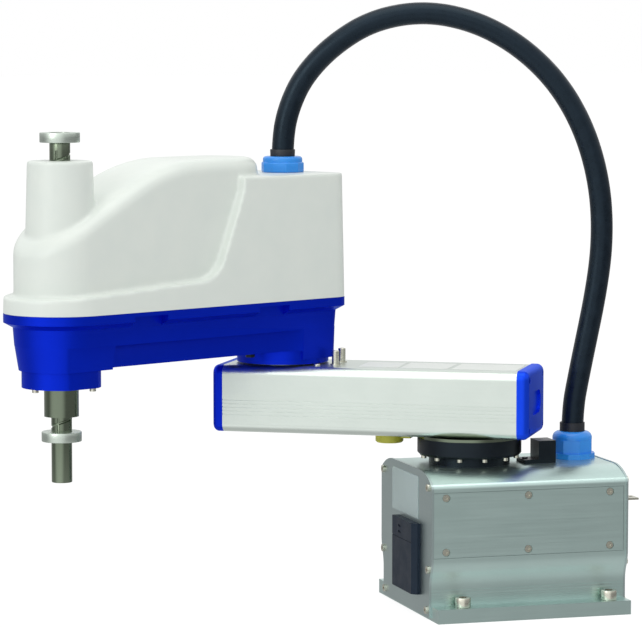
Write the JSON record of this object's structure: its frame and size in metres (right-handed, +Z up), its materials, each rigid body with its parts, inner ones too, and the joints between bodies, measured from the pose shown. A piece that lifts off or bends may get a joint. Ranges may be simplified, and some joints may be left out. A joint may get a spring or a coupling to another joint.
{
  "type": "scara robot",
  "caption": "Four-axis selective-compliance robot: extruded base, swinging beam, covered second arm with a lifting and turning tool shaft, and a hose looping back to the base.",
  "frame": {"origin": "centre of the four base mounting holes on the bottom face", "axes": "+Z up; X along the base's long side with the connector end at +X; the long side seen in the picture faces -Y; arms in the pictured pose"},
  "size_m": [0.6545, 0.2719, 0.6259],
  "materials": {
    "anodised_aluminium": "satin clear anodised extrusion",
    "plain_aluminium": "machined",
    "screw_steel": "bright zinc",
    "machined_steel": "ground",
    "black_plastic": "fine texture",
    "black_metal": "satin black",
    "fitting_brass": "plain",
    "blue_plastic": "moulded, glossy",
    "blue_plastic_cap": "moulded, glossy",
    "blue_paint": "gloss enamel",
    "white_cover": "moulded, semi gloss",
    "yellow_urethane": "matte urethane",
    "black_rubber": "matte",
    "hose_black": "smooth glossy sleeve"
  },
  "bodies": {
    "base": {"base_frame": "anodised_aluminium", "front_end_plate": "anodised_aluminium", "rear_end_plate": "anodised_aluminium", "side_cover_near": "anodised_aluminium", "side_cover_far": "anodised_aluminium", "side_cover_screws": "screw_steel", "end_plate_screws": "screw_steel", "battery_cover": "black_plastic", "battery_pack": "black_plastic", "motor_connector": "black_plastic", "signal_connector": "black_plastic", "air_fittings": "fitting_brass", "cable_bracket": "screw_steel", "j1_reducer_housing": "black_metal", "j1_motor": "black_metal", "j1_stop_block": "black_metal", "base_gland_body": "blue_plastic", "base_gland_nut": "blue_plastic", "base_gland_seal": "black_rubber", "hose": "hose_black"},
    "arm_1": {"arm_1_beam": "anodised_aluminium", "arm_1_front_cap": "blue_paint", "arm_1_rear_cap": "blue_plastic_cap", "cap_screw_heads": "screw_steel", "j1_output_ring": "black_metal", "j1_ring_bolts": "screw_steel", "j1_output_flange": "machined_steel", "stop_bumper": "yellow_urethane", "j2_stop_pins": "screw_steel", "beam_top_screw": "screw_steel", "j2_reducer": "machined_steel"},
    "arm_2": {"arm_2_casting": "blue_paint", "arm_2_cover": "white_cover", "boss_screws": "screw_steel", "j2_output_hub": "machined_steel", "j2_motor": "black_metal", "motor_plate": "plain_aluminium", "motor_bracket": "plain_aluminium", "j3_motor": "black_metal", "j4_motor": "black_metal", "theta_belt": "black_rubber", "z_belt": "black_rubber", "spline_bearing": "machined_steel", "ball_nut_bearing": "machined_steel", "arm_gland_body": "blue_plastic", "arm_gland_nut": "blue_plastic", "arm_gland_seal": "black_rubber"},
    "spline_drive": {"spline_nut": "machined_steel", "spline_pulley": "plain_aluminium"},
    "screw_drive": {"ball_nut": "machined_steel", "ball_nut_pulley": "plain_aluminium"},
    "tool_shaft": {"spline_shaft": "machined_steel", "lower_collar": "plain_aluminium", "upper_collar": "plain_aluminium"},
    "lift_rotor": {"j3_motor_pulley": "plain_aluminium"},
    "turn_rotor": {"j4_motor_pulley": "plain_aluminium"}
  },
  "joints": [
    {"name": "j1_swing", "type": "hinge", "parent": "base", "child": "arm_1", "pos_m": [-0.0425, 0, 0.18], "axis": [0, 0, 1], "range_deg": [-94.6, 155.4], "deforming": ["hose"]},
    {"name": "j2_swing", "type": "hinge", "parent": "arm_1", "child": "arm_2", "pos_m": [-0.215, 0.10121, 0.251], "axis": [0, 0, 1], "range_deg": [-202.8, 87.2]},
    {"name": "j4_turn", "type": "hinge", "parent": "arm_2", "child": "spline_drive", "pos_m": [-0.48135, -0.03685, 0.25], "axis": [0, 0, 1], "range_deg": [-360, 360]},
    {"name": "j3_lift", "type": "slide", "parent": "spline_drive", "child": "tool_shaft", "axis": [0, 0, 1], "range_m": [-0.0175, 0.015]},
    {"name": "screw_turn", "type": "hinge", "parent": "arm_2", "child": "screw_drive", "pos_m": [-0.48135, -0.03685, 0.32], "axis": [0, 0, 1], "range_deg": [-320, 275]},
    {"name": "lift_rotor_turn", "type": "hinge", "parent": "arm_2", "child": "lift_rotor", "pos_m": [-0.34818, 0.03218, 0.33], "axis": [0, 0, 1], "range_deg": [-950, 815]},
    {"name": "turn_rotor_turn", "type": "hinge", "parent": "arm_2", "child": "turn_rotor", "pos_m": [-0.41032, -0.00004, 0.283], "axis": [0, 0, 1], "range_deg": [-1085, 1085]}
  ],
  "couplings": [
    {"joint": "screw_turn", "follows": "j3_lift", "rad_per_m": 314.16},
    {"joint": "lift_rotor_turn", "follows": "j3_lift", "rad_per_m": 942.48},
    {"joint": "turn_rotor_turn", "follows": "j4_turn", "ratio": 3}
  ]
}
